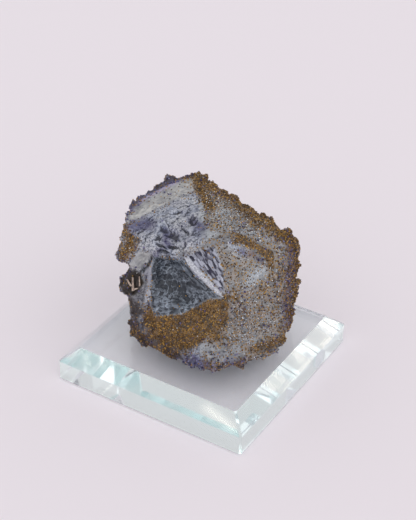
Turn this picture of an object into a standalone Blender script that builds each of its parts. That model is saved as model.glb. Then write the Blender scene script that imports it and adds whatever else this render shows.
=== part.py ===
"""A rough fluorite specimen on a square glass base. Metres, +Z up, origin under the base's centre."""

import itertools
import math

import bmesh
import bpy
import numpy as np
from mathutils import Vector

MM = 0.001

# Glass base, millimetres: a three inch display block half an inch thick
BASE_SIDE = 76.2
BASE_HEIGHT = 12.7
BASE_WALL = 7.8      # upright part of the sides, under the bevel
BASE_BEVEL = 5.6     # how far the bevel comes in on the top
BASE_EASE = 0.35     # small flats ground on the sharp edges

# Specimen, millimetres, in its own axes: x to its right, y to its back, z up from the table
GAP = 0.3                            # between the stone's resting patch and the glass
REST = BASE_HEIGHT + GAP
TURN = 31.2                          # degrees that the stone is turned on the base
CENTRE = np.array([2.0, 4.0, 34.7])  # a point inside it
SUNK = 0.9                           # the block stands back this far, and the growth reaches its planes

# Main crystal faces: outward direction, and a point that the face passes through
FACES = [
    ((0.00, 0.10, 1.00), (8.9, -10.4, 61.2)),      # top
    ((-0.30, 0.04, 0.95), (-12.0, -6.0, 60.0)),    # top, falling to the left
    ((0.30, 0.24, 0.92), (20.0, -4.0, 59.8)),      # top, falling to the right
    ((0.77, 0.64, 0.02), (15.8, 19.0, 54.0)),      # right of the back
    ((0.62, 0.48, 0.62), (14.2, 18.0, 56.2)),      # chamfer over it
    ((-0.62, 0.77, -0.12), (-10.8, 38.6, 56.5)),   # left of the back
    ((0.05, 0.90, 0.43), (-4.0, 40.6, 56.6)),      # blunt corner of the back
    ((-0.92, 0.16, 0.36), (-28.2, 16.0, 51.0)),    # shoulder at the left
    ((-0.99, -0.02, -0.06), (-27.8, 4.1, 42.7)),   # left side
    ((-0.84, -0.50, 0.18), (-20.6, -12.0, 42.0)),  # narrow side left of the hollow
    ((-0.60, -0.78, 0.14), (-17.6, -16.6, 20.7)),  # low front, to the left
    ((-0.50, -0.74, 0.44), (-14.5, -17.5, 49.0)),  # the face that the hollow is broken into
    ((-0.16, -0.94, 0.30), (2.1, -29.8, 18.7)),    # low front
    ((0.26, -0.80, 0.54), (7.4, -12.0, 61.2)),     # small striped face under the top ridge
    ((0.56, -0.68, 0.47), (22.5, -17.5, 55.0)),    # large face at the right of the front
    ((0.40, -0.90, 0.14), (20.1, -22.1, 18.7)),    # low front, to the right
    ((0.98, -0.14, -0.07), (33.0, 3.0, 46.0)),     # right side
    ((0.88, -0.46, 0.02), (29.2, -9.4, 22.0)),     # right side, to the front
]
TOP, LEFT_TOP, NARROW, HOLLOWED, STRIPED = 0, 1, 9, 11, 13

# The underside: shallow faces all round that rise from the resting patch to the lower rim
UNDER_FACES = 10
UNDER_REACH = 15.5   # mean radius of the resting patch
UNDER_RISE = 0.28

# What is broken out of the block, each hollow bounded by planes
HOLLOW = [  # the glassy hollow under the bright ledge
    ((0.62, 0.62, 0.48), (-7.7, -19.8, 58.0)),     # wall under the ledge
    ((0.50, 0.70, -0.50), (-5.5, -14.2, 44.0)),    # floor
    ((-0.80, 0.45, -0.10), (-17.4, -12.4, 48.0)),  # the thin ridge at its left
    ((-0.10, -0.55, -0.83), (-9.0, -20.0, 30.0)),  # lip at its foot
]
HOLLOW_CHIP = [  # a second, deeper break in its floor
    ((0.40, 0.86, -0.30), (-7.0, -12.6, 40.0)),
    ((0.75, 0.10, 0.65), (-10.0, -14.0, 47.0)),
    ((-0.60, 0.70, 0.40), (-13.5, -14.0, 40.0)),
    ((-0.50, -0.40, -0.76), (-9.0, -14.0, 36.0)),
]
UPPER_STEP = [  # broken steps left of the top ridge
    ((0.60, -0.72, 0.30), (-8.0, -14.0, 58.6)),
    ((0.20, 0.62, -0.76), (-12.0, -8.0, 56.6)),
    ((-0.80, 0.50, 0.20), (-19.5, -8.0, 56.0)),
    ((0.10, 0.90, 0.30), (-12.0, -1.0, 58.6)),
]
TOP_STEP = [
    ((0.64, -0.72, 0.20), (-3.0, -3.0, 60.2)),
    ((0.05, 0.12, -0.99), (-12.0, 0.0, 57.4)),
    ((-0.50, 0.84, 0.20), (-13.0, 8.0, 59.6)),
]
BACK_STEP = [  # the sunk strip along the left of the back, with a rim left beyond it
    ((0.70, -0.71, 0.15), (-12.8, 12.8, 58.6)),
    ((0.11, -0.10, -0.98), (-15.0, 20.0, 56.2)),
    ((-0.72, 0.69, 0.20), (-17.6, 26.2, 57.0)),
    ((0.30, 0.95, 0.10), (-6.0, 33.5, 57.0)),
]
GROOVES = 4          # down the small striped face
GROOVE_START = np.array([2.2, -15.4, 59.4])
GROOVE_STEP = np.array([2.5, 0.9, -0.6])
GROOVE_ALONG = (0.62, -0.36, -0.70)
GROOVE_DEPTH = 0.9

# Crystals that grow out of the block: middle, half sizes, and the turns about z, y and x in degrees
GROWN = [
    ((-21.6, 0.8, 48.4), (7.0, 6.2, 6.6), (28, 24, -16)),    # tip at the left
    ((-25.8, -2.6, 35.4), (3.2, 3.0, 3.8), (15, 20, 30)),    # the dark nodule, in three grains
    ((-27.4, -1.4, 33.0), (2.3, 2.4, 2.3), (50, -20, 10)),
    ((-24.4, -3.8, 37.6), (2.0, 2.0, 2.6), (70, 30, 0)),
    ((12.6, 13.6, 34.0), (11.0, 9.0, 9.0), (52, 6, 8)),      # two crystals on the back
    ((-10.0, 22.0, 32.0), (9.5, 8.0, 8.0), (34, -8, 12)),
    ((22.6, 3.6, 26.0), (8.0, 8.0, 7.0), (62, -6, 10)),      # one low at the right
]

# Rough growth: small cubes side by side, close along the edges of the block and sparse on its back
SEED = 11
RIM_PITCH, FACE_PITCH = 3.7, 8.5
RIM_WIDTH = 4.0
RIM_HALF, FACE_HALF = (1.35, 2.15), (0.9, 1.4)   # half sizes, smallest and largest
LEAN = 38            # degrees that a cube turns at most from the main crystal


def unit(vector):
    vector = np.asarray(vector, float)
    return vector / np.linalg.norm(vector)


def planes(faces):
    """Directions and offsets of a list of faces."""
    normals = np.array([unit(n) for n, _ in faces])
    points = np.array([p for _, p in faces])
    return normals, (normals * points).sum(1)


def under_faces():
    faces = []
    for k in range(UNDER_FACES):
        a = 2 * math.pi * k / UNDER_FACES + 0.2
        reach = UNDER_REACH + 2.2 * math.cos(2 * a + 0.7) + 1.5 * math.cos(3 * a)
        point = (CENTRE[0] + reach * math.cos(a), CENTRE[1] + reach * math.sin(a), REST)
        faces.append(((UNDER_RISE * math.cos(a), UNDER_RISE * math.sin(a), -0.96), point))
    return faces


def rotation(about_z, about_y, about_x):
    z, y, x = (math.radians(v) for v in (about_z, about_y, about_x))
    rz = np.array([[math.cos(z), -math.sin(z), 0], [math.sin(z), math.cos(z), 0], [0, 0, 1]])
    ry = np.array([[math.cos(y), 0, math.sin(y)], [0, 1, 0], [-math.sin(y), 0, math.cos(y)]])
    rx = np.array([[1, 0, 0], [0, math.cos(x), -math.sin(x)], [0, math.sin(x), math.cos(x)]])
    return rz @ ry @ rx


def corners(normals, offsets):
    """Corners of the solid that the planes bound, with a large box round it."""
    normals = np.concatenate([normals, np.eye(3), -np.eye(3)])
    offsets = np.concatenate([offsets, np.full(3, 90.0), np.full(3, 90.0)])
    a, b, c = np.array(list(itertools.combinations(range(len(normals)), 3))).T
    sets = np.stack([normals[a], normals[b], normals[c]], 1)
    sides = np.stack([offsets[a], offsets[b], offsets[c]], 1)[..., None]
    met = np.abs(np.linalg.det(sets)) > 1e-4
    points = np.linalg.solve(sets[met], sides[met])[..., 0]
    return points[(points @ normals.T - offsets < 1e-5).all(1)]


def box(middle, half, turn):
    signs = np.array(list(itertools.product((-1, 1), repeat=3)))
    return np.asarray(middle) + (signs * np.asarray(half)) @ turn.T


def solid_of(name, points, made=None):
    """The closed mesh round a set of points, in metres."""
    shape = bmesh.new()
    for p in points:
        shape.verts.new(Vector(p * MM))
    bmesh.ops.remove_doubles(shape, verts=shape.verts, dist=1e-6)
    hull = bmesh.ops.convex_hull(shape, input=shape.verts)
    spare = list({*hull["geom_interior"], *hull["geom_unused"]})
    bmesh.ops.delete(shape, geom=[g for g in spare if isinstance(g, bmesh.types.BMVert)], context="VERTS")
    bmesh.ops.recalc_face_normals(shape, faces=shape.faces)
    mesh = bpy.data.meshes.new(name)
    shape.to_mesh(mesh)
    shape.free()
    if made:
        mesh.materials.append(made)
    obj = bpy.data.objects.new(name, mesh)
    bpy.context.scene.collection.objects.link(obj)
    return obj


def combine(stone, points, how):
    """Fuses the solid round the points to the stone, or cuts it away."""
    tool = solid_of("tool", points)
    step = stone.modifiers.new("step", "BOOLEAN")
    step.operation, step.solver, step.object = how, "MANIFOLD", tool
    bpy.context.view_layer.objects.active = stone
    bpy.ops.object.modifier_apply(modifier="step")
    bpy.data.objects.remove(tool)


def drop_crumbs(stone):
    """Keeps the largest body: the cuts can leave a crumb loose."""
    shape = bmesh.new()
    shape.from_mesh(stone.data)
    left, bodies = set(shape.verts), []
    while left:
        body, edge = set(), [next(iter(left))]
        while edge:
            v = edge.pop()
            if v in left:
                left.discard(v)
                body.add(v)
                edge += [e.other_vert(v) for e in v.link_edges]
        bodies.append(body)
    bodies.sort(key=len)
    for body in bodies[:-1]:
        bmesh.ops.delete(shape, geom=list(body), context="VERTS")
    shape.to_mesh(stone.data)
    shape.free()


def growth(normals, offsets, cuts):
    """Middles, half sizes and turns of the small cubes on the block."""
    rng = np.random.default_rng(SEED)
    rays = rng.normal(size=(9000, 3))
    rays /= np.linalg.norm(rays, axis=1, keepdims=True)
    facing = rays @ normals.T
    with np.errstate(divide="ignore"):
        reach = np.where(facing > 1e-3, (offsets - CENTRE @ normals.T) / facing, np.inf)
    points = CENTRE + rays * reach.min(1)[:, None]
    order = np.argsort(reach, 1)[:, :2]
    behind = np.sort(points @ normals.T - offsets, 1)
    rim = np.exp(-((behind[:, -1] - behind[:, -2]) / RIM_WIDTH) ** 2)
    smooth = np.isin(order, (TOP, LEFT_TOP, NARROW, HOLLOWED, STRIPED)).all(1)
    smooth |= (order == STRIPED).any(1) | ((order == HOLLOWED).any(1) & (points[:, 2] > 38))
    smooth |= (points[:, 2] > 57) & (points[:, 1] < -8) & (points[:, 0] < 12)
    spread = np.where(normals[order[:, 0], 1] > 0.3, 0.08, 0)
    clear = np.all([(points @ n.T - o).max(1) > 2.2 for n, o in cuts], axis=0)
    keep = clear & ~smooth & (points[:, 2] > REST + 1.6) & (rng.uniform(size=len(points)) < spread + rim)
    taken = []
    for p, r, n in zip(points[keep], rim[keep], normals[order[keep, 0]]):
        pitch = FACE_PITCH + (RIM_PITCH - FACE_PITCH) * min(1, 1.6 * r)
        if taken and min(np.linalg.norm(p - q[0]) for q in taken) < pitch:
            continue
        low, high = (f + (g - f) * min(1, 1.6 * r) for f, g in zip(FACE_HALF, RIM_HALF))
        half = rng.uniform(low, high) * rng.uniform(0.85, 1.15, 3)
        lean = rng.uniform(-LEAN, LEAN, 3)
        taken.append((p - n * half.mean() * 0.3, half, rotation(40 + lean[0], lean[1], lean[2])))
    return taken


def material(name, colour, roughness, transmission=0.0, ior=1.45):
    made = bpy.data.materials.new(name)
    made.use_nodes = True
    shader = made.node_tree.nodes["Principled BSDF"]
    shader.inputs["Base Color"].default_value = (*colour, 1)
    shader.inputs["Roughness"].default_value = roughness
    shader.inputs["Transmission Weight"].default_value = transmission
    shader.inputs["IOR"].default_value = ior
    return made


def add(name, points, faces, made):
    mesh = bpy.data.meshes.new(name)
    mesh.from_pydata((np.asarray(points) * MM).tolist(), [], [list(map(int, f)) for f in faces])
    mesh.materials.append(made)
    mesh.validate()
    obj = bpy.data.objects.new(name, mesh)
    bpy.context.scene.collection.objects.link(obj)
    return obj


def ring(half, z, corner):
    """A square with its corners cut, eight points from the front edge round."""
    a, b = half, half - corner
    return [(-b, -a, z), (b, -a, z), (a, -b, z), (a, b, z), (b, a, z), (-b, a, z), (-a, b, z), (-a, -b, z)]


def glass_base():
    half, e = BASE_SIDE / 2, BASE_EASE
    top = half - BASE_BEVEL
    rings = [
        ring(half - e, 0, e),
        ring(half, e, 2 * e),
        ring(half, BASE_WALL, 2 * e),
        ring(top, BASE_HEIGHT, 2 * e),
    ]
    points = [p for r in rings for p in r]
    faces = [tuple(range(7, -1, -1)), tuple(range(24, 32))]
    for r in range(3):
        for k in range(8):
            n = (k + 1) % 8
            faces.append((8 * r + k, 8 * r + n, 8 * r + 8 + n, 8 * r + 8 + k))
    glass = material("clear glass", (0.90, 0.97, 0.97), 0.05, transmission=1.0, ior=1.5)
    return add("glass_base", points, faces, glass)


def fluorite():
    normals, offsets = planes(FACES + under_faces())
    offsets[:len(FACES)] -= SUNK
    rock = material("fluorite", (0.27, 0.27, 0.33), 0.5)
    stone = solid_of("fluorite_specimen", corners(normals, offsets), rock)
    cuts = [planes(c) for c in (HOLLOW, HOLLOW_CHIP, UPPER_STEP, TOP_STEP, BACK_STEP)]
    for middle, half, turns in GROWN:
        combine(stone, box(middle, half, rotation(*turns)), "UNION")
    for middle, half, turn in growth(normals, offsets, cuts):
        combine(stone, box(middle, half, turn), "UNION")
    for cut in cuts:
        combine(stone, corners(*cut), "DIFFERENCE")
    # V grooves in the striped face
    across, out = unit(GROOVE_STEP), unit(FACES[STRIPED][0])
    along = unit(GROOVE_ALONG)
    for k in range(GROOVES):
        start = GROOVE_START + k * GROOVE_STEP - out * (GROOVE_DEPTH + SUNK)
        length = along * (13 - 2.2 * k)
        lifted = start + out * 2.5
        section = [start, lifted - across * 1.6, lifted + across * 1.6]
        combine(stone, np.array(section + [p + length for p in section]), "DIFFERENCE")
    # nothing reaches below the patch that it rests on
    combine(stone, box((0, 0, REST - 20), (80, 80, 20), np.eye(3)), "DIFFERENCE")
    drop_crumbs(stone)
    turn = rotation(TURN, 0, 0)
    for v in stone.data.vertices:
        v.co = Vector(turn @ np.array(v.co))
    return stone


for old in list(bpy.data.objects):
    bpy.data.objects.remove(old)

glass_base()
fluorite()
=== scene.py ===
import math

import bmesh
import bpy
import numpy as np
from mathutils import Matrix, Vector


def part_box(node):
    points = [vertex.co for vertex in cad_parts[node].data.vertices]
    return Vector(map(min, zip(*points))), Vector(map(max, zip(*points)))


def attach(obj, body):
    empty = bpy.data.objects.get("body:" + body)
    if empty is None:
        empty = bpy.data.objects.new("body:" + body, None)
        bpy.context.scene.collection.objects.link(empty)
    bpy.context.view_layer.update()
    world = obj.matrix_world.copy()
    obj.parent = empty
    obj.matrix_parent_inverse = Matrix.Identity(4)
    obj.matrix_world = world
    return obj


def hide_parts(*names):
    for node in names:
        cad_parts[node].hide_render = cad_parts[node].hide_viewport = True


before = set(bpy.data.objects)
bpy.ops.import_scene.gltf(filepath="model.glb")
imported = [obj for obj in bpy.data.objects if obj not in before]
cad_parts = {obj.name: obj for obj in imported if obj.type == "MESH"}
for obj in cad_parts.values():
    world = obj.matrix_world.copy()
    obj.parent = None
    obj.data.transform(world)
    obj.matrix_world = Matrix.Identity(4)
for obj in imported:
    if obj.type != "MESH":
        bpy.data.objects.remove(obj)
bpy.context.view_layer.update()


# The viewpoint. The photograph was taken from above the front corner of the base with a longish lens.
# The stone is worked in its own axes, millimetres, x to the right and y away from this viewpoint, which
# are the base's axes turned by TURN. on_photo gives the pixel of the photograph where a point shows.
PHOTO_W, PHOTO_H = 416, 520
FOCAL_PIXELS = 1320.0
PITCH, ROLL = math.radians(33.895), math.radians(1.154)
TURN = math.radians(31.2)
OFFSET = np.array([-1.354, -36.44, 487.31])

level_up = np.array([0, math.sin(PITCH), math.cos(PITCH)])
level_right = np.array([1.0, 0, 0])
looking = np.array([0, math.cos(PITCH), -math.sin(PITCH)])
right = math.cos(ROLL) * level_right + math.sin(ROLL) * level_up
up = -math.sin(ROLL) * level_right + math.cos(ROLL) * level_up
eye = -(np.stack([right, up, looking]).T @ OFFSET)

turn = np.array([[math.cos(TURN), -math.sin(TURN), 0], [math.sin(TURN), math.cos(TURN), 0], [0, 0, 1]])


def on_photo(points):
    seen = points @ np.stack([right, up, looking]).T + OFFSET
    return np.stack([PHOTO_W / 2 + FOCAL_PIXELS * seen[:, 0] / seen[:, 2],
                     PHOTO_H / 2 - FOCAL_PIXELS * seen[:, 1] / seen[:, 2]], 1)


camera = bpy.data.objects.new("camera", bpy.data.cameras.new("camera"))
camera.data.sensor_width = 36
camera.data.lens = FOCAL_PIXELS / PHOTO_H * 36
axes = turn @ np.stack([right, up, -looking], 1)
camera.matrix_world = Matrix.Translation(Vector(turn @ eye * 0.001)) @ Matrix(axes.tolist()).to_4x4()
bpy.context.scene.collection.objects.link(camera)
bpy.context.scene.camera = camera


# The glass base. A stock display block of clear float glass, sawn square, with its edges ground to a
# bevel and polished. It shows a faint aqua tint where the light runs through the thick edge.
BEVEL_IN, BEVEL_DOWN = 5.6, 4.9     # how far the bevel runs over the top and down the sides, millimetres
BEVEL_ROUGHNESS = 0.055
AQUA, AQUA_PER_METRE = "#BFE6E6", 2.0


def linear(colour):
    parts = [int(colour[k:k + 2], 16) / 255 for k in (1, 3, 5)]
    return tuple(p / 12.92 if p <= 0.04045 else ((p + 0.055) / 1.055) ** 2.4 for p in parts) + (1,)


def put(material, kind, inputs={}, **settings):
    """Adds a shader node with its options. Each input is fed by another node's output or holds a value."""
    made = material.node_tree.nodes.new("ShaderNode" + kind)
    for name, value in settings.items():
        setattr(made, name, value)
    for name, value in inputs.items():
        if isinstance(value, bpy.types.NodeSocket):
            material.node_tree.links.new(value, made.inputs[name])
        else:
            made.inputs[name].default_value = value
    return made


def new_material(name):
    made = bpy.data.materials.new(name)
    made.use_nodes = True
    return made, made.node_tree.nodes["Principled BSDF"]


# Polished float glass: clear, IOR 1.52. Its ground bevels and sides are less sharp than the top, so what
# they mirror is a little blurred.
polished_glass, shader = new_material("polished_float_glass")
shader.inputs["Base Color"].default_value = linear("#FCFFFF")
shader.inputs["IOR"].default_value = 1.52
shader.inputs["Transmission Weight"].default_value = 1.0
glass_corner = np.array(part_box("glass_base")[1]) * 1000
bevel_starts = (glass_corner[0] - BEVEL_IN) * 0.001
place = put(polished_glass, "TexCoord").outputs["Object"]
apart = put(polished_glass, "VectorMath", {0: place}, operation="ABSOLUTE").outputs["Vector"]
side = put(polished_glass, "SeparateXYZ", {"Vector": apart}).outputs
outer = put(polished_glass, "Math", {0: side["X"], 1: side["Y"]}, operation="MAXIMUM").outputs[0]
ground = put(polished_glass, "MapRange", {"Value": outer, "From Min": bevel_starts - 0.0003,
                                          "From Max": bevel_starts + 0.0003,
                                          "To Min": 0.0, "To Max": BEVEL_ROUGHNESS}).outputs[0]
polished_glass.node_tree.links.new(ground, shader.inputs["Roughness"])
tint = put(polished_glass, "VolumeAbsorption", {"Color": linear(AQUA), "Density": AQUA_PER_METRE})
output = polished_glass.node_tree.nodes["Material Output"]
polished_glass.node_tree.links.new(tint.outputs["Volume"], output.inputs["Volume"])

glass_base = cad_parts["glass_base"]
glass_base.data.materials.clear()
glass_base.data.materials.append(polished_glass)


# The fluorite. One lump of intergrown crystals, slate blue to violet, rough with druse along its edges
# and broken at the front left into a dark glassy hollow, that rests on the glass. Its mesh is the solid's
# own form, remeshed fine and worked with the growth steps, stripes and breaks that each face shows.
VOXEL = 0.00054     # metres, fine enough for growth of a millimetre

# outlines of the stone's regions, in pixels of the photograph: the glassy hollow, its bright ledge, the
# striped face beside it, the broken upper left face (bark), the pale strip behind that, the foot under
# the hollow, the evened ground of the stripes, the narrow side at the left and the flat facet above it.
# CREST, RIDGE and GAP are lines: over the hollow, down its left edge, and behind the left tip.
HOLLOW = [(153, 257), (184, 260), (193, 272), (206, 284), (221, 298), (209, 299), (201, 303), (191, 309),
          (181, 314), (155, 316), (151, 306)]
LEDGE = [(184, 257), (188, 257), (194, 264), (200, 271), (207, 278), (213, 284), (219, 291), (224, 298),
         (217, 294), (209, 287), (200, 278), (192, 270), (187, 263)]
STRIPED = [(186, 257), (199, 251), (214, 246), (219, 258), (223, 272), (224, 293), (213, 280), (197, 266)]
BARK = [(126, 226), (148, 215), (171, 204), (195, 193), (203, 198), (207, 212), (205, 226), (217, 234),
        (206, 243), (181, 254), (166, 258), (153, 257), (143, 246), (141, 238), (131, 234)]
STRIP = [(122, 227), (136, 206), (157, 193), (179, 182), (198, 175), (203, 184), (193, 193), (171, 203),
         (148, 214)]
FOOT = [(158, 300), (168, 288), (184, 274), (194, 284), (206, 293), (228, 297), (232, 312), (220, 334),
        (190, 336), (158, 326)]
GROOVED = [(192, 259), (206, 247), (250, 247), (246, 286), (226, 292), (212, 276)]
CREST = [(181, 255), (194, 250), (206, 245), (220, 240), (232, 236)]
NARROW = [(131, 285), (148, 262), (153, 258), (149, 285), (145, 311), (138, 322), (131, 315)]
RIDGE = [(152, 258), (149, 284), (145, 308)]
FACET = [(139, 250), (152, 254), (146, 263), (137, 271), (129, 267), (133, 258)]
GAP = [(151, 257), (147, 265), (141, 271)]
# pits broken in the bark: the middle of each, its half sizes and how it leans
PITS = [((172, 234), (10, 3.0), 0.35), ((161, 246), (5.0, 1.8), 0.5), ((173, 247), (5.5, 1.8), 0.2),
        ((193, 221), (4, 4), 0.6), ((166, 253), (7, 1.6), 0.25), ((158, 238), (2, 3.5), 0.9),
        ((187, 233), (5, 1.4), 0.7), ((141, 231), (4, 1.6), -0.4), ((178, 213), (5, 1.2), -0.5),
        ((150, 222), (5, 1.2), -0.5)]

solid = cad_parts["fluorite_specimen"]
stone = bpy.data.objects.new("fluorite", solid.data.copy())
bpy.context.scene.collection.objects.link(stone)


def apply_modifiers(obj):
    graph = bpy.context.evaluated_depsgraph_get()
    made = bpy.data.meshes.new_from_object(obj.evaluated_get(graph))
    obj.modifiers.clear()
    old, obj.data = obj.data, made
    bpy.data.meshes.remove(old)


fine = stone.modifiers.new("fine", "REMESH")
fine.mode, fine.voxel_size, fine.use_smooth_shade = "VOXEL", VOXEL, True
even = stone.modifiers.new("even", "SMOOTH")
even.factor, even.iterations = 0.5, 2
apply_modifiers(stone)


def read_points(obj):
    """The mesh's points and normals in the stone's own axes, millimetres."""
    count = len(obj.data.vertices)
    points, normals = np.empty(count * 3), np.empty(count * 3)
    obj.data.vertices.foreach_get("co", points)
    obj.data.vertices.foreach_get("normal", normals)
    return points.reshape(-1, 3) * 1000 @ turn, normals.reshape(-1, 3) @ turn


def read_edges(obj):
    edges = np.empty(len(obj.data.edges) * 2, int)
    obj.data.edges.foreach_get("vertices", edges)
    return edges.reshape(-1, 2)


def write_points(obj, points):
    obj.data.vertices.foreach_set("co", (points @ turn.T * 0.001).ravel())
    obj.data.update()


def evened(values, edges, rounds):
    """The values, each averaged with its neighbours on the mesh, over and over."""
    values = np.array(values, float)
    flat = values.ndim == 1
    if flat:
        values = values[:, None]
    a = np.concatenate([edges[:, 0], edges[:, 1]])
    b = np.concatenate([edges[:, 1], edges[:, 0]])
    count = np.bincount(a, minlength=len(values))[:, None]
    for _ in range(rounds):
        total = np.stack([np.bincount(a, values[b, k], len(values)) for k in range(values.shape[1])], 1)
        values = 0.3 * values + 0.7 * total / count
    return values[:, 0] if flat else values


def drawn_flat(points, edges, amount, rounds):
    """The points, drawn to a taut skin where the amount is 1 and held where it is 0."""
    keep = np.zeros(len(points), bool)
    keep[edges[(amount[edges] > 0.01).any(1)].ravel()] = True
    index = np.cumsum(keep) - 1
    part, local = points[keep], index[edges[keep[edges].all(1)]]
    for _ in range(rounds):
        part = part + (evened(part, local, 1) - part) * amount[keep][:, None]
    points = points.copy()
    points[keep] = part
    return points


def noise(p, pitch, seed):
    """Smooth noise from -1 to 1, with a random value at each corner of a grid of this pitch."""
    grid = np.random.default_rng(seed).uniform(-1, 1, (32, 32, 32))
    q = p / pitch + 100
    base = np.floor(q).astype(int)
    t = q - base
    t = t * t * (3 - 2 * t)
    total = np.zeros(len(p))
    for step in np.ndindex(2, 2, 2):
        weight = np.prod(np.where(step, t, 1 - t), 1)
        total += weight * grid[tuple(((base + step) % 32).T)]
    return total


def grown_cubes(p, pitch, seed):
    """Heights from 0 to 1 of turned cubes that grow side by side, one to each cell of a shaken grid."""
    rng = np.random.default_rng(seed)
    shake = rng.uniform(0.1, 0.9, (24, 24, 24, 3))
    size = rng.uniform(0.6, 1.0, (24, 24, 24))
    turns = np.linalg.qr(rng.normal(size=(32, 3, 3)))[0]
    pick = rng.integers(0, 32, (24, 24, 24))
    q = p / pitch + 100
    base = np.floor(q).astype(int)
    best = np.zeros(len(p))
    for step in np.ndindex(3, 3, 3):
        corner = base + np.array(step) - 1
        at = tuple((corner % 24).T)
        d = q - corner - shake[at]
        near = (d * d).sum(1) < 1.4
        where = tuple(k[near] for k in at)
        reach = np.abs(np.einsum("ni,nij->nj", d[near], turns[pick[where]])).max(1)
        best[near] = np.maximum(best[near], size[where] - reach / 0.72)
    return np.clip(best * 1.5, 0, 1)


def crack_gap(p, pitch, seed):
    """0 along a net of cracks, growing to about 1 in the middle of each cell between them."""
    shake = np.random.default_rng(seed).uniform(0.0, 1.0, (24,) * p.shape[1] + (p.shape[1],))
    q = p / pitch + 100
    base = np.floor(q).astype(int)
    first, second = np.full(len(p), 9.0), np.full(len(p), 9.0)
    for step in np.ndindex(*(3,) * p.shape[1]):
        corner = base + np.array(step) - 1
        d = q - corner - shake[tuple((corner % 24).T)]
        far = np.sqrt((d * d).sum(1))
        second = np.minimum(second, np.maximum(first, far))
        first = np.minimum(first, far)
    return second - first


def line_gap(uv, line):
    """Distance in pixels of the photograph from a line of points."""
    line = np.asarray(line, float)
    best = np.full(len(uv), 1e9)
    for a, b in zip(line[:-1], line[1:]):
        along = np.clip(((uv - a) @ (b - a)) / ((b - a) @ (b - a)), 0, 1)
        best = np.minimum(best, np.linalg.norm(uv - a - along[:, None] * (b - a), axis=1))
    return best


def near_line(uv, line, reach):
    return np.exp(-(line_gap(uv, line) / reach) ** 2)


def within(uv, outline, soft):
    """1 well inside an outline drawn on the photograph, 0 well outside."""
    outline = np.asarray(outline, float)
    inside = np.zeros(len(uv), bool)
    for a, b in zip(outline, np.roll(outline, -1, 0)):
        crosses = (a[1] > uv[:, 1]) != (b[1] > uv[:, 1])
        slope = (b[0] - a[0]) / (b[1] - a[1]) if b[1] != a[1] else 0
        inside ^= crosses & (uv[:, 0] < slope * (uv[:, 1] - a[1]) + a[0])
    gap = line_gap(uv, np.vstack([outline, outline[:1]]))
    return np.clip(0.5 + np.where(inside, gap, -gap) / (2 * soft), 0, 1)


def facing_front(points, normals):
    to_eye = eye - points
    to_eye /= np.linalg.norm(to_eye, axis=1, keepdims=True)
    return np.clip(((to_eye * normals).sum(1) + 0.25) / 0.35, 0, 1)


def plates(q, pitch, seed):
    """Flat broken plates, one to each cell of a shaken grid: the height of each, leaning its own way."""
    rng = np.random.default_rng(seed)
    shake = rng.uniform(0.0, 1.0, (24, 24, 2))
    lift = rng.uniform(-1, 1, (24, 24))
    lean = rng.uniform(-1, 1, (24, 24, 2))
    q = q / pitch + 100
    base = np.floor(q).astype(int)
    best, height = np.full(len(q), 9.0), np.zeros(len(q))
    for step in np.ndindex(3, 3):
        corner = base + np.array(step) - 1
        at = tuple((corner % 24).T)
        d = q - corner - shake[at]
        far = (d * d).sum(1)
        closer = far < best
        best = np.where(closer, far, best)
        height = np.where(closer, lift[at] + (lean[at] * d).sum(1), height)
    return height


# split the faces of the hollow, the striped face and the bark finer: their detail is under a millimetre
points, normals = read_points(stone)
uv = on_photo(points)
even_normals = evened(normals, read_edges(stone), 12)
front = facing_front(points, even_normals)
detail = np.maximum.reduce([within(uv, HOLLOW, 2), within(uv, STRIPED, 2), within(uv, LEDGE, 2),
                            within(uv, BARK, 3)])
fine_verts = detail * front > 0.4
work = bmesh.new()
work.from_mesh(stone.data)
edges = [e for e in work.edges if fine_verts[e.verts[0].index] and fine_verts[e.verts[1].index]]
bmesh.ops.subdivide_edges(work, edges=edges, cuts=1, use_grid_fill=True)
bmesh.ops.triangulate(work, faces=work.faces)
work.to_mesh(stone.data)
work.free()

# even out what the faces of the hollow and the striped face are cut into, and draw the foot under the
# hollow to one skin
points, normals = read_points(stone)
edges = read_edges(stone)
uv = on_photo(points)
even_normals = evened(normals, edges, 12)
front = facing_front(points, even_normals)
worked = np.maximum(within(uv, HOLLOW, 1.5) * (1 - within(uv, LEDGE, 1)), within(uv, GROOVED, 3))
worked *= front
points += (evened(points, edges, 110) - points) * worked[:, None]
points = drawn_flat(points, edges, within(uv, FOOT, 4) * (points[:, 1] < 8), 500)
write_points(stone, points)

# where each region lies on the mesh, and how much each point stands out as an edge of the crystal
points, normals = read_points(stone)
uv = on_photo(points)
even_normals = evened(normals, edges, 12)
front = facing_front(points, even_normals)
rim = np.clip(((points - evened(points, edges, 90)) * even_normals).sum(1) / 0.9, 0, 1)
rim = evened(rim, edges, 4)

ledge = within(uv, LEDGE, 0.7) * front
hollow = within(uv, HOLLOW, 1.2) * front * (1 - ledge)
striped = within(uv, STRIPED, 1.2) * front * (1 - ledge) * (1 - hollow)
bark = within(uv, BARK, 3) * front * (1 - hollow) * (1 - ledge)
strip = within(uv, STRIP, 2.5) * front * (1 - bark)
crest = near_line(uv, CREST, 3.0) * front * (1 - ledge) * (1 - hollow)
narrow = within(uv, NARROW, 2) * front * (1 - hollow)
facet = within(uv, FACET, 1) * front
smooth = np.clip(np.maximum.reduce([hollow, striped, bark, strip * 0.9, crest, ledge, narrow * 0.8, facet]),
                 0, 1)

# small growth: bold along the edges of the crystal, low on its faces
rough = (1 - smooth) * (0.08 + 0.92 * np.clip(rim * 1.6 - 0.1, 0, 1))
shift = rough * (0.7 * grown_cubes(points, 2.3, 3) - 0.4)
shift += rough * 0.38 * (grown_cubes(points, 1.3, 4) - 0.4)
shift += (1 - smooth) * 0.1 * noise(points, 0.9, 5) + 0.14 * noise(points, 5.0, 6)

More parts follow.
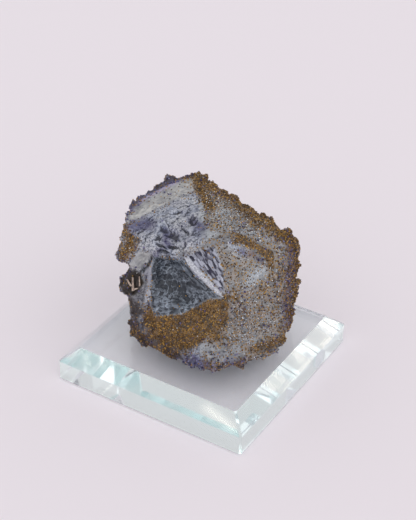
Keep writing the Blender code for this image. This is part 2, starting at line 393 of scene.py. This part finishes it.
# the bark: growth layers that run along the strip, broken across into steps that fall to the front
across = points @ np.array([0.71, -0.70, 0.0])
along = points @ np.array([0.70, 0.71, 0.0])
flow = np.stack([across, along * 0.5], 1) + 0.5 * np.stack([noise(points, 2.5, 7), noise(points, 2.5, 8)], 1)
bark_shift = 0.75 * plates(flow, 4.4, 9) + 0.42 * plates(flow, 2.0, 10) + 0.16 * plates(flow, 0.9, 11)
bark_shift -= 0.1
pits = np.zeros(len(points))
for middle, half, lean in PITS:
    d = uv - np.array(middle)
    c, s = math.cos(lean), math.sin(lean)
    oval = np.hypot((d[:, 0] * c + d[:, 1] * s) / half[0], (d[:, 1] * c - d[:, 0] * s) / half[1])
    pits = np.maximum(pits, np.clip(1.6 - oval * 1.1, 0, 1))
bark_shift -= 1.1 * pits
shift += bark * bark_shift

# the striped face: short sharp grooves that run steeply down to the right
slash = np.stack([uv @ np.array([0.83, -0.55]), uv @ np.array([0.55, 0.83]) * 0.26], 1)
slash += 0.35 * np.stack([noise(points, 1.6, 12), noise(points, 1.6, 13)], 1)
stripe = np.clip(0.45 + 0.55 * plates(slash, 2.1, 14) + 0.25 * plates(slash, 1.2, 15), 0, 1)
shift += striped * (0.7 * stripe - 0.35)

# the hollow: fine cleavage lines, drawn out along the ledge near it and level near its foot
from_ledge = line_gap(uv, [(184, 258), (200, 277), (222, 297)])
ledge_along = uv @ np.array([0.69, 0.72])
ledge_cross = uv @ np.array([0.72, -0.69])
bend = 2.2 * np.stack([noise(points, 3.0, 14), noise(points, 3.0, 15)], 1)
near = np.clip(1.25 - from_ledge / 15, 0, 1)
low = np.clip((uv[:, 1] - 292) / 16, 0, 1) * (1 - near)
stretched = np.stack([ledge_along * 0.30, ledge_cross], 1) + bend
level = np.stack([uv[:, 0] * 0.38, uv[:, 1]], 1) + bend
nets = [np.clip(1 - crack_gap(q, pitch, seed) / width, 0, 1) for q, pitch, seed, width in
        ((stretched, 3.0, 16, 0.22), (level, 3.4, 17, 0.22), (uv + bend, 5.2, 18, 0.13),
         (uv + 0.5 * bend, 2.7, 19, 0.2))]
net = np.clip(near * nets[0] + low * nets[1] + (1 - near) * (1 - low) * nets[2] + 0.45 * nets[3], 0, 1)
net *= np.clip(0.7 + 0.8 * noise(points, 2.6, 20), 0.1, 1)
facets = near * plates(stretched, 2.6, 21) + (1 - near) * plates(uv + bend, 3.6, 22)
facets = np.clip(0.5 + 0.5 * facets, 0, 1)
core = near_line(uv, [(158, 272), (168, 284), (178, 290)], 11)
shift += hollow * (0.2 * net + 0.5 * facets + 0.3 * noise(points, 2.8, 24) - 0.45 - 0.5 * core)
shift += hollow * 0.3 * near * ((from_ledge / 4.6) % 1)

# fine lines down the narrow side, a crisp ridge beside the hollow, and the gap behind the left tip
lines = uv[:, 0] + 0.16 * uv[:, 1] + 0.8 * noise(points, 2.5, 23)
shift += narrow * 0.22 * np.abs((lines / 3.2 % 1) * 2 - 1)
shift += 0.55 * near_line(uv, RIDGE, 1.6) * front
shift -= 1.5 * near_line(uv, GAP, 2.4) * front * (1 - facet)
shift += crest * 0.15 + 0.45 * near_line(uv, [(234, 236), (250, 243), (271, 254), (271, 262)], 2.5) * front
shift = shift * (1 - ledge) + 0.2 * ledge

# nothing moves near the patch that the stone stands on, and nothing reaches below it
rest_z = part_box("fluorite_specimen")[0][2] * 1000
shift = np.where(points[:, 2] < rest_z + 1.2, 0, shift)
# painted light from the relief: painted shade where a point lies below its neighbours and in the bark's pits,
# painted highlight where it stands above them
painted_relief_light = np.clip((evened(shift, edges, 10) - shift) / 0.26 + 1.1 * pits * bark, -1, 1)
grained = np.stack([across, along * 0.15, points[:, 2]], 1)
shift += strip * (0.25 * noise(grained, 1.2, 25) + 0.2 * noise(points, 3.0, 26))
points = points + normals * shift[:, None]
points[:, 2] = np.maximum(points[:, 2], rest_z)
write_points(stone, points)

# where each tone of the stone lies. The lines give their points, how far their tone reaches in pixels and
# how strong it is.
GOLD_DENSE = [(143, 304), (150, 300), (170, 304), (192, 300), (214, 292), (226, 292), (232, 300), (232, 314),
              (228, 328), (222, 340), (210, 343), (204, 350), (186, 355), (166, 350), (150, 338), (142, 322)]
SILVER = [(206, 196), (226, 200), (246, 213), (268, 230), (262, 243), (238, 232), (214, 228)]
LOW_SPECKS = [(216, 296), (250, 300), (268, 318), (256, 345), (222, 347), (214, 335), (224, 318)]
PALE_LOW = [(192, 350), (214, 345), (240, 344), (246, 352), (236, 361), (210, 363)]
BLUISH = [(262, 270), (250, 282)]
BESIDE_APEX = [(232, 243), (240, 252)]
GOLD_LINES = [([(203, 173), (231, 191), (266, 216), (294, 233)], 21, 1.15),
              ([(197, 176), (201, 192), (210, 206)], 8, 1.1),
              ([(299, 232), (301, 262), (297, 290), (295, 325)], 8, 1.3),
              ([(290, 333), (270, 345), (252, 350)], 9, 0.95),
              ([(122, 228), (133, 238), (124, 254)], 10, 1.0),
              ([(233, 236), (250, 243), (271, 255), (271, 264)], 5, 1.5),
              ([(226, 297), (236, 299)], 3.5, 1.3),
              ([(133, 330), (150, 344), (170, 353)], 6, 0.75), ([(155, 306), (150, 318), (148, 330)], 5, 0.8),
              ([(206, 209), (222, 222), (232, 234)], 5, 0.45)]
VIOLET_LINES = [([(132, 205), (146, 191), (166, 181), (184, 174)], 5, 2.0),
                ([(129, 322), (150, 346), (182, 361), (216, 369), (240, 362)], 6, 1.0),
                ([(290, 236), (294, 262), (288, 300), (292, 330)], 6, 1.1),
                ([(128, 226), (148, 224)], 7, 1.0), ([(165, 231), (168, 244)], 5, 1.0),
                ([(213, 183), (232, 200)], 5, 0.4), ([(193, 221), (203, 227)], 5, 1.0),
                ([(240, 250), (262, 260)], 3, 0.8), ([(156, 262), (158, 250)], 4, 0.8)]
BROWN_AND_SHADE_LINES = [([(128, 305), (133, 328), (150, 346), (176, 359)], 12, 1.15),
               ([(140, 290), (136, 310)], 7, 0.7),
               ([(132, 203), (146, 191), (160, 183), (184, 174)], 5, 0.9),
               ([(203, 172), (232, 189), (260, 206)], 4, 0.7),
               ([(297, 232), (300, 262), (296, 300), (293, 330)], 4, 0.8), ([(290, 338), (262, 354)], 5, 0.6)]
LUMPS = [(124, 300), (140, 296), (149, 312), (149, 328), (163, 344), (186, 355), (190, 368), (165, 360),
         (148, 352), (128, 334)]
NODULE = [(119, 270), (128, 268), (141, 271), (143, 284), (138, 296), (124, 297), (118, 284)]

points, normals = read_points(stone)
uv = on_photo(points) + 2.2 * np.stack([noise(points, 3.2, 34), noise(points, 3.2, 35)], 1)
uv += 1.3 * np.stack([noise(points, 1.3, 36), noise(points, 1.3, 37)], 1)
torn = uv + 5.0 * np.stack([noise(points, 4.5, 39), noise(points, 4.5, 40)], 1)
front = facing_front(points, even_normals)
patch = 0.5 + 0.5 * noise(points, 8.0, 31) + 0.3 * noise(points, 3.0, 32)
dense_gold = within(torn, GOLD_DENSE, 6) * front
gold = np.where(uv[:, 0] > 203, 0.62, 0.2) * front + (1 - front) * np.clip(0.1 + 0.6 * patch, 0, 1)
gold *= 0.75 + 0.5 * patch
gold *= 1 - 0.3 * within(uv, SILVER, 8) * front
gold *= 1 - 0.7 * np.maximum(near_line(uv, BLUISH, 6), near_line(uv, BESIDE_APEX, 7)) * front
for line, reach, amount in GOLD_LINES:
    gold = np.maximum(gold, np.clip(amount * near_line(uv, line, reach), 0, 1) * np.clip(front + 0.3, 0, 1))
gold = np.maximum(gold, dense_gold)
gold = np.maximum(gold, 0.69 * within(torn, LOW_SPECKS, 10) * front)
gold *= 1 - 0.65 * within(torn, PALE_LOW, 3) * front
bare = np.clip(smooth - 0.4 * crest - 0.8 * near_line(uv, [(196, 177), (205, 196), (212, 214)], 8), 0, 1)
gold = np.clip(gold * (1 - 0.96 * bare), 0, 1)
violet = 0.15 * np.clip(rim * 1.5, 0, 1)
for line, reach, amount in VIOLET_LINES:
    violet = np.maximum(violet, np.clip(amount * near_line(uv, line, reach), 0, 1))
violet += np.where(uv[:, 0] < 205, 0.5, 0.12) * np.clip(noise(points, 4.0, 33), 0, 1) * (1 - ledge)
violet = np.clip(violet, 0, 1) * (1 - hollow)
# brown stain, which also serves as painted shade low down: over the lower left and over the pale foot near
# the glass
brown_and_shade = np.zeros(len(points))
for line, reach, amount in BROWN_AND_SHADE_LINES:
    brown_and_shade = np.maximum(brown_and_shade, amount * near_line(uv, line, reach))
brown_and_shade = np.maximum(brown_and_shade, 0.95 * within(uv, LUMPS, 5))
brown_and_shade = np.maximum.reduce([brown_and_shade, 0.45 * within(uv, PALE_LOW, 6), 0.6 * crest])
brown_and_shade = np.maximum(brown_and_shade, 0.5 * narrow) * np.clip(0.8 + 0.6 * noise(points, 2.2, 38), 0, 1) * front
nodule = within(uv, NODULE, 1.5) * front
brown_and_shade *= 1 - nodule
gold *= 1 - 0.8 * nodule
violet *= 1 - nodule
streak_across = uv @ np.array([0.56, 0.83]) + 1.5 * noise(points, 4.0, 41)
streak_along = uv @ np.array([0.83, -0.56])
streak = 0.5 + 0.5 * noise(np.stack([streak_across / 0.9, streak_along / 14, 0 * streak_along], 1), 1.0, 42)
streak = np.clip(streak + 0.45 * noise(points, 0.8, 43) + 0.2 * noise(points, 3.0, 44), 0, 1)
warm = front * (uv[:, 0] > 200) * (1 - 0.5 * near_line(uv, BESIDE_APEX, 8)) + (1 - front) * patch
warm = np.clip(warm, 0, 1)
# a painted highlight: a thin lilac line along the top edge of the pale strip
lilac_highlight = near_line(on_photo(points), [(139, 202), (157, 192), (177, 182)], 1.2) * front
pale = np.maximum.reduce([strip, 0.2 * crest, 0.2 * within(uv, PALE_LOW, 4) * front, facet * 0.8])
pale = np.clip(pale, 0, 1)
silver = np.maximum.reduce([within(uv, SILVER, 6), within(uv, LOW_SPECKS, 6), near_line(uv, BLUISH, 9)])
silver = np.clip(0.25 + 0.75 * silver, 0, 1) * front + 0.3 * (1 - front)
silver *= (1 - 0.85 * dense_gold) * (1 - brown_and_shade) * (1 - 0.7 * violet) * (1 - nodule)


def store(obj, name, values):
    layer = obj.data.attributes.new(name, "FLOAT", "POINT")
    layer.data.foreach_set("value", np.asarray(values, np.float32))


for name, values in (("gold", gold), ("violet", violet), ("pale", pale), ("ledge", ledge), ("glassy", hollow),
                     ("cleavage", hollow * np.clip(0.75 * net + 0.55 * (facets - 0.35) - 0.35 * core, 0, 1)),
                     ("relief_light", painted_relief_light), ("striped", striped), ("stripe", stripe), ("streak", streak),
                     ("brown_and_shade", brown_and_shade), ("warm", warm), ("nodule", nodule), ("lilac_highlight", lilac_highlight)):
    store(stone, name, values)
for face in stone.data.polygons:
    face.use_smooth = True

# Fluorite: translucent stone, IOR 1.43, slate blue with violet zones, satin where grown and glassy
# where broken. Its finest druse is drawn as grains of 0.5 mm in the shading.
GRAINS_PER_MM = 1.9
GROWN, BROKEN = 0.48, 0.2       # roughness
fluorite, shader = new_material("fluorite_drusy")
place = put(fluorite, "TexCoord").outputs["Object"]
millimetres = put(fluorite, "VectorMath", {0: place, "Scale": 1000.0}, operation="SCALE").outputs["Vector"]

# Its colours, laid over each other in this order: the name of the result, what spreads it (a value of the
# mesh, or how many mottled patches go to a millimetre), where on that it starts and ends, its least and
# greatest share, and the colours under it and over it.
LAYERS = [("body", 0.2, 0.38, 0.62, 0.0, 1.0, "#A3ABBB", "#C2C4C8"),        # slate blue to grey growth
          ("body", 1.7, 0.4, 0.56, 0.0, 1.0, "#5E6270", "body"),            # painted shade: dark specks between its grains
          ("body", "warm", 0.0, 1.0, 0.0, 0.62, "body", "#AEB4B6"),         # greyer faces at the right
          ("body", "relief_light", -0.15, -1.0, 0.0, 0.65, "body", "#BEC2CB"),   # painted highlight on edges that stand above their neighbours
          ("body", "violet", 0.0, 1.0, 0.0, 0.75, "body", "#3E3A68"),       # violet zones
          ("streaks", "streak", 0.0, 1.0, 0.0, 1.0, "#828387", "#BEBEBB"),
          ("body", "pale", 0.0, 1.0, 0.0, 1.0, "body", "streaks"),          # the streaked pale strip
          ("ochre", 0.45, 0.4, 0.6, 0.0, 1.0, "#38270A", "#765620"),
          ("body", "gold", 0.0, 1.0, -0.25, 0.9, "body", "ochre"),          # iron stain under the druse
          ("body", "brown_and_shade", 0.0, 1.0, 0.0, 0.95, "body", "#30241F"),        # brown stain and painted shade, mostly low down
          ("stripes", "stripe", 0.0, 1.0, 0.0, 1.0, "#23213A", "#B4B8C6"),
          ("body", "striped", 0.0, 1.0, 0.0, 1.0, "body", "stripes"),       # dark and light of the grooves
          ("chips", 2.4, 0.4, 0.62, 0.0, 1.0, "#989CA6", "#CDD0D6"),
          ("body", "ledge", 0.0, 1.0, 0.0, 1.0, "body", "chips"),           # the bright bruised ledge, made paler still as a painted highlight along its rim
          ("body", "glassy", 0.0, 1.0, 0.0, 1.0, "body", "#2B3139"),        # the clear dark break
          ("body", "cleavage", 0.0, 1.0, 0.0, 1.0, "body", "#A9B5C4"),      # light on its cleavage lines
          ("body", "relief_light", 0.1, 1.0, 0.0, 0.85, "body", "#23242E"),      # painted shade deep in the cracks and in the bark's pits
          ("body", "lilac_highlight", 0.0, 1.0, 0.0, 0.6, "body", "#BDB2CC"),         # painted highlight: a thin lilac line at the top left
          ("body", "nodule", 0.0, 1.0, 0.0, 1.0, "body", "#2E2723")]        # dull dark brown nodule
made_so_far = {}
for result, spread, start, end, least, greatest, under, over in LAYERS:
    if isinstance(spread, str):
        amount = put(fluorite, "Attribute", attribute_name=spread).outputs["Fac"]
    else:
        amount = put(fluorite, "TexNoise", {"Vector": millimetres, "Scale": spread, "Detail": 2.0,
                                            "Roughness": 0.6}).outputs[0]
    amount = put(fluorite, "MapRange", {"Value": amount, "From Min": start, "From Max": end,
                                        "To Min": least, "To Max": greatest}).outputs[0]
    under, over = (linear(tone) if tone[0] == "#" else made_so_far[tone] for tone in (under, over))
    made_so_far[result] = put(fluorite, "Mix", {0: amount, 6: under, 7: over}, data_type="RGBA").outputs[2]
fluorite.node_tree.links.new(made_so_far["body"], shader.inputs["Base Color"])
glassy = put(fluorite, "Attribute", attribute_name="glassy").outputs["Fac"]
gloss = put(fluorite, "MapRange", {"Value": glassy, "To Min": GROWN, "To Max": BROKEN}).outputs[0]
fluorite.node_tree.links.new(gloss, shader.inputs["Roughness"])
shader.inputs["IOR"].default_value = 1.43
druse = put(fluorite, "TexVoronoi", {"Vector": millimetres, "Scale": GRAINS_PER_MM}, distance="CHEBYCHEV")
bruised = put(fluorite, "Attribute", attribute_name="ledge").outputs["Fac"]
relief = put(fluorite, "MapRange", {"Value": bruised, "To Min": 0.5, "To Max": 0.1}).outputs[0]
bump = put(fluorite, "Bump", {"Height": druse.outputs["Distance"], "Distance": 0.00025, "Strength": relief})
fluorite.node_tree.links.new(bump.outputs["Normal"], shader.inputs["Normal"])
stone.data.materials.clear()
stone.data.materials.append(fluorite)
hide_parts("fluorite_specimen")
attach(stone, "root")


# The pale prongs. Four blades of a pinkish white crystal, three of them grown from one foot, that stand
# in the dark brown nodule on the left and lean out of it.

# the foot and the tip of each on the photograph, and its width in millimetres
PRONGS = [((133, 290), (132.5, 276.5), 0.9), ((131.5, 286), (127.5, 279.5), 0.7),
          ((133, 289.5), (138.5, 288), 0.65), ((139, 286), (138.5, 276.5), 0.5)]
STANDS_OUT = 0.7    # millimetres from the nodule's surface to the middle of a blade
prong_mesh = bmesh.new()
shown_at = on_photo(points)
for foot, tip, wide in PRONGS:
    middle = (np.array(foot) + np.array(tip)) / 2
    seen = np.where(front > 0.6, np.linalg.norm(shown_at - middle, axis=1), 1e9)
    centre = points[seen.argmin()] - STANDS_OUT * looking
    pixel = ((centre - eye) @ looking) / FOCAL_PIXELS
    reach = pixel * ((tip[0] - foot[0]) * right - (tip[1] - foot[1]) * up)
    reach -= 0.15 * np.linalg.norm(reach) * looking
    flat = np.cross(reach, looking) / np.linalg.norm(np.cross(reach, looking))
    deep_way = np.cross(reach, flat) / np.linalg.norm(reach)
    for vert in bmesh.ops.create_cube(prong_mesh, size=1.0)["verts"]:
        taper = 0.55 if vert.co.z > 0 else 1.0
        local = wide * taper * (vert.co.x * flat + 1.6 * vert.co.y * deep_way) + vert.co.z * reach
        vert.co = turn @ (centre + local) * 0.001
mesh = bpy.data.meshes.new("nodule_prongs")
prong_mesh.to_mesh(mesh)
prong_mesh.free()
nodule_prongs = bpy.data.objects.new("nodule_prongs", mesh)
bpy.context.scene.collection.objects.link(nodule_prongs)

# Pinkish white crystal, dull and slightly glossy, mottled in patches of 0.7 mm
pale_crystal, shader = new_material("pinkish_white_crystal")
place = put(pale_crystal, "TexCoord").outputs["Object"]
grain = put(pale_crystal, "TexNoise", {"Vector": place, "Scale": 1500.0, "Detail": 2.0}).outputs[0]
tones = put(pale_crystal, "MapRange", {"Value": grain, "From Min": 0.35, "From Max": 0.65}).outputs[0]
mottled = put(pale_crystal, "Mix", {0: tones, 6: linear("#7E6C62"), 7: linear("#C6B2A2")},
              data_type="RGBA").outputs[2]
pale_crystal.node_tree.links.new(mottled, shader.inputs["Base Color"])
shader.inputs["Roughness"].default_value = 0.35
nodule_prongs.data.materials.append(pale_crystal)
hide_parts("fluorite_specimen")
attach(nodule_prongs, "root")


# The golden druse. A later crust of crystals of about half a millimetre, iron stained from honey to
# dark brown, that sits on the growth, thick along the upper right and under the hollow.
def scatter(obj, amounts, pitch, seed, most):
    """Places spread over the mesh, one to a cell, kept as often as the amount says, and their normals."""
    rng = np.random.default_rng(seed)
    mesh = obj.data
    mesh.calc_loop_triangles()
    tris = np.empty(len(mesh.loop_triangles) * 3, int)
    mesh.loop_triangles.foreach_get("vertices", tris)
    tris = tris.reshape(-1, 3)
    p, n = read_points(obj)
    a, b, c = (p[tris[:, k]] for k in range(3))
    area = np.linalg.norm(np.cross(b - a, c - a), axis=1) / 2
    tries = int(area.sum() / pitch ** 2 * 5)
    pick = rng.choice(len(tris), tries, p=area / area.sum())
    r = rng.uniform(size=(tries, 2))
    r = np.where(r.sum(1, keepdims=True) > 1, 1 - r, r)
    at = a[pick] + r[:, :1] * (b - a)[pick] + r[:, 1:] * (c - a)[pick]
    cell = np.floor(at / pitch).astype(int) + 200
    _, first = np.unique(cell[:, 0] * 160000 + cell[:, 1] * 400 + cell[:, 2], return_index=True)
    amount = amounts[tris[pick[first]]].mean(1)
    first = first[rng.uniform(size=len(first)) < amount]
    first = rng.permutation(first)[:most]
    out = n[tris[pick[first]]].mean(1)
    return at[first], out / np.linalg.norm(out, axis=1, keepdims=True)


def crust(name, places, half, form, seed):
    """One mesh of small turned crystals, each with its own tone."""
    at, out = places
    rng = np.random.default_rng(seed)
    count = len(at)
    turns = np.linalg.qr(rng.normal(size=(count, 3, 3)))[0]
    turns *= np.sign(np.linalg.det(turns))[:, None, None]
    size = half * rng.uniform(0.7, 1.35, (count, 1, 1))
    verts, faces = form
    made_points = np.einsum("nij,kj->nki", turns, verts) * size + (at + out * half * 0.2)[:, None]
    every = (faces[None] + np.arange(count)[:, None, None] * len(verts)).reshape(-1, faces.shape[1])
    mesh = bpy.data.meshes.new(name)
    mesh.vertices.add(count * len(verts))
    mesh.vertices.foreach_set("co", (made_points.reshape(-1, 3) @ turn.T * 0.001).ravel())
    mesh.loops.add(every.size)
    mesh.loops.foreach_set("vertex_index", every.ravel())
    mesh.polygons.add(len(every))
    mesh.polygons.foreach_set("loop_start", np.arange(0, every.size, faces.shape[1]))
    mesh.update(calc_edges=True)
    made = bpy.data.objects.new(name, mesh)
    bpy.context.scene.collection.objects.link(made)
    store(made, "tone", np.repeat(rng.uniform(0, 1, count), len(verts)))
    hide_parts("fluorite_specimen")
    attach(made, "root")
    return made


# a crystal's points, and the points round each of its faces
OCTAHEDRON = (np.array([[1, 0, 0], [-1, 0, 0], [0, 1, 0], [0, -1, 0], [0, 0, 1], [0, 0, -1]], float),
              np.array([[0, 2, 4], [2, 1, 4], [1, 3, 4], [3, 0, 4],
                        [2, 0, 5], [1, 2, 5], [3, 1, 5], [0, 3, 5]]))
# no crystal is put near the patch that the stone stands on
standing = np.where(points[:, 2] < rest_z + 1.5, 0, 1)


def crystal_material(name, dark, middle, light, roughness):
    """A clear stained crystal: each one has its own tone between these."""
    made, shader = new_material(name)
    tone = put(made, "Attribute", attribute_name="tone").outputs["Fac"]
    tones = put(made, "ValToRGB", {"Fac": tone})
    tones.color_ramp.elements[0].color, tones.color_ramp.elements[1].color = linear(dark), linear(light)
    tones.color_ramp.elements.new(0.5).color = linear(middle)
    made.node_tree.links.new(tones.outputs["Color"], shader.inputs["Base Color"])
    shader.inputs["Roughness"].default_value = roughness
    shader.inputs["IOR"].default_value = 1.45
    return made


# scattered over the faces, and packed closer where the crust is whole
GOLDEN_HALF = 0.27                      # millimetres from a crystal's middle to its points
FACES_APART, CRUST_APART = 0.84, 0.62   # millimetres
WHOLE = 0.7                             # how much gold makes the crust whole
sparse = scatter(stone, np.clip(gold * 1.7, 0, 0.9) * (gold < WHOLE) * standing, FACES_APART, 40, 15000)
dense = scatter(stone, gold * (gold >= WHOLE) * standing, CRUST_APART, 41, 9500)
places = [np.concatenate(v) for v in zip(sparse, dense)]
golden_druse = crust("golden_druse", places, GOLDEN_HALF, OCTAHEDRON, 42)

# Iron stained druse: each grain has its own tone between dark brown and honey, and a glassy surface
golden_druse.data.materials.append(
    crystal_material("iron_stained_druse", "#2E1D05", "#704D12", "#C1974A", 0.3))


# The silvery druse. Clear crystals, a little smaller than the golden ones and grown between them, bluish
# white in this light. They give the upper right and the lower right of the stone their grey shimmer.
SILVER_HALF, SILVER_APART = 0.22, 0.8   # millimetres
places = scatter(stone, silver * (1 - smooth) * standing * 0.85, SILVER_APART, 43, 24500)
silver_druse = crust("silver_druse", places, SILVER_HALF, OCTAHEDRON, 44)

# Clear druse: colourless crystals with wet looking faces, which show blue grey to white
silver_druse.data.materials.append(
    crystal_material("clear_druse", "#566072", "#A2ACB8", "#EEF2F6", 0.25))


# The violet druse. Small cubes of the fluorite itself, deep violet to grey, in a thick fringe along the
# edges of the crystal.
VIOLET_HALF, VIOLET_APART = 0.27, 1.0   # millimetres
CUBE = (np.array([[x, y, z] for x in (-1, 1) for y in (-1, 1) for z in (-1, 1)]) * 0.8,
        np.array([[0, 1, 3, 2], [4, 6, 7, 5], [0, 4, 5, 1], [2, 3, 7, 6], [0, 2, 6, 4], [1, 5, 7, 3]]))
fringe = np.clip(violet * 1.3 + 0.2 * rim, 0, 1) * (1 - smooth * 0.9) * (1 - 0.5 * gold) * standing
fringe *= 1 - 0.75 * brown_and_shade
places = scatter(stone, fringe * 0.5, VIOLET_APART, 45, 16000)
violet_druse = crust("violet_druse", places, VIOLET_HALF, CUBE, 46)

# Violet fluorite: deep violet cubes with satin faces, greyer where they are thin
violet_druse.data.materials.append(
    crystal_material("violet_fluorite", "#221E44", "#48446E", "#8682A4", 0.35))


# The table and the light. A sheet of plain pale card in a white room, with wide soft light from above
# and in front, and strip lights for the bevels of the glass.
floor_mesh = bpy.data.meshes.new("floor")
floor_mesh.from_pydata([(-6, -6, 0), (6, -6, 0), (6, 6, 0), (-6, 6, 0)], [], [(0, 1, 2, 3)])
floor = bpy.data.objects.new("floor", floor_mesh)
floor.location.z = -0.0002
bpy.context.scene.collection.objects.link(floor)

# Pale card: matt and faintly pink, without shine
pale_board, shader = new_material("pale_card")
shader.inputs["Base Color"].default_value = linear("#EDE7EC")
shader.inputs["Roughness"].default_value = 0.9
shader.inputs["Specular IOR Level"].default_value = 0.1
floor_mesh.materials.append(pale_board)


# warm white strip lights, each placed where a bevel mirrors it, so that it shows there as a bar: pairs of
# them across the right bevel (0), a long one along its foot and two on the front bevel (1). Each is given
# by its bevel, the two ends of its bar and its width in pixels of the photograph, and how bright it is.
STRIPS = [(0, (264, 381), (276, 390), 4.5, 8.5), (0, (273, 370), (284, 382), 4.0, 8.5),
          (0, (291, 350), (303, 361), 4.5, 8.5), (0, (300, 341), (314, 352), 4.5, 8.5),
          (0, (318, 321), (332, 333), 5.5, 9.5), (0, (327, 312), (338, 323), 6.0, 9.5),
          (0, (286, 391), (314, 358), 4.5, 8.5), (0, (322, 346), (335, 336), 4.5, 8.5),
          (1, (204, 406), (236, 431), 2.2, 22), (1, (82, 350), (90, 366), 3.5, 8),
          (1, (100, 357), (106, 370), 3.0, 7)]
STRIP_FAR = 900.0           # millimetres
LAMP_PER_BRIGHTNESS = 4     # watts to a square metre of lamp, for a brightness of 1
bevels = [(turn.T @ (glass_corner * [1, 0, 1] - [BEVEL_IN, 0, 0]),
           turn.T @ np.array([BEVEL_DOWN, 0, BEVEL_IN])),
          (turn.T @ (glass_corner * [0, -1, 1] + [0, BEVEL_IN, 0]),
           turn.T @ np.array([0, -BEVEL_DOWN, BEVEL_IN]))]


def mirrored(pixel, at, out):
    """The place, STRIP_FAR off, that a bevel shows at a pixel of the photograph."""
    out = out / np.linalg.norm(out)
    ray = (pixel[0] - PHOTO_W / 2) * right + (PHOTO_H / 2 - pixel[1]) * up + FOCAL_PIXELS * looking
    ray /= np.linalg.norm(ray)
    hit = eye + ray * ((at - eye) @ out) / (ray @ out)
    return hit + STRIP_FAR * (ray - 2 * (ray @ out) * out)


for bevel, first, last, width, radiance in STRIPS:
    a, b = mirrored(first, *bevels[bevel]), mirrored(last, *bevels[bevel])
    middle, length = (a + b) / 2, np.linalg.norm(b - a)
    z_axis = (middle - bevels[bevel][0]) / np.linalg.norm(middle - bevels[bevel][0])
    x_axis = (b - a) / length
    x_axis -= (x_axis @ z_axis) * z_axis
    x_axis /= np.linalg.norm(x_axis)
    facing = turn @ np.stack([x_axis, np.cross(z_axis, x_axis), z_axis], 1)
    lamp = bpy.data.lights.new("strip_light", "AREA")
    thick = width / FOCAL_PIXELS * (np.linalg.norm(eye - bevels[bevel][0]) + STRIP_FAR)
    lamp.shape, lamp.size, lamp.size_y = "RECTANGLE", length * 0.001, thick * 0.001
    lamp.color = linear("#FFF6E4")[:3]
    lamp.energy = radiance * LAMP_PER_BRIGHTNESS * lamp.size * lamp.size_y
    strip_light = bpy.data.objects.new("strip_light", lamp)
    strip_light.matrix_world = (Matrix.Translation(Vector(turn @ middle * 0.001))
                                @ Matrix(facing.tolist()).to_4x4())
    bpy.context.scene.collection.objects.link(strip_light)

# the room: white all round, brighter above and in front
TOWARDS_LIGHT = turn @ np.array([0.20, -0.84, 0.50])
DIMMEST, BRIGHTEST = 0.72, 1.5
room = bpy.data.worlds.new("room")
bpy.context.scene.world = room
room.use_nodes = True
direction = put(room, "TexCoord").outputs["Generated"]
facing = put(room, "VectorMath", {0: direction, 1: TOWARDS_LIGHT}, operation="DOT_PRODUCT").outputs["Value"]
spread = put(room, "MapRange", {"Value": facing, "From Min": -0.1, "From Max": 1.0}).outputs[0]
glow = put(room, "Math", {0: spread, 1: 2.0}, operation="POWER").outputs[0]
strength = put(room, "MapRange", {"Value": glow, "To Min": DIMMEST, "To Max": BRIGHTEST}).outputs[0]
background = room.node_tree.nodes["Background"]
background.inputs["Color"].default_value = linear("#FCFAFC")
room.node_tree.links.new(strength, background.inputs["Strength"])
bpy.context.scene.view_settings.view_transform = "Standard"
# light runs many times along inside the glass before it leaves
bpy.context.scene.cycles.blur_glossy = 0.0
bpy.context.scene.cycles.max_bounces = 96
bpy.context.scene.cycles.glossy_bounces = 96
bpy.context.scene.cycles.transmission_bounces = 96
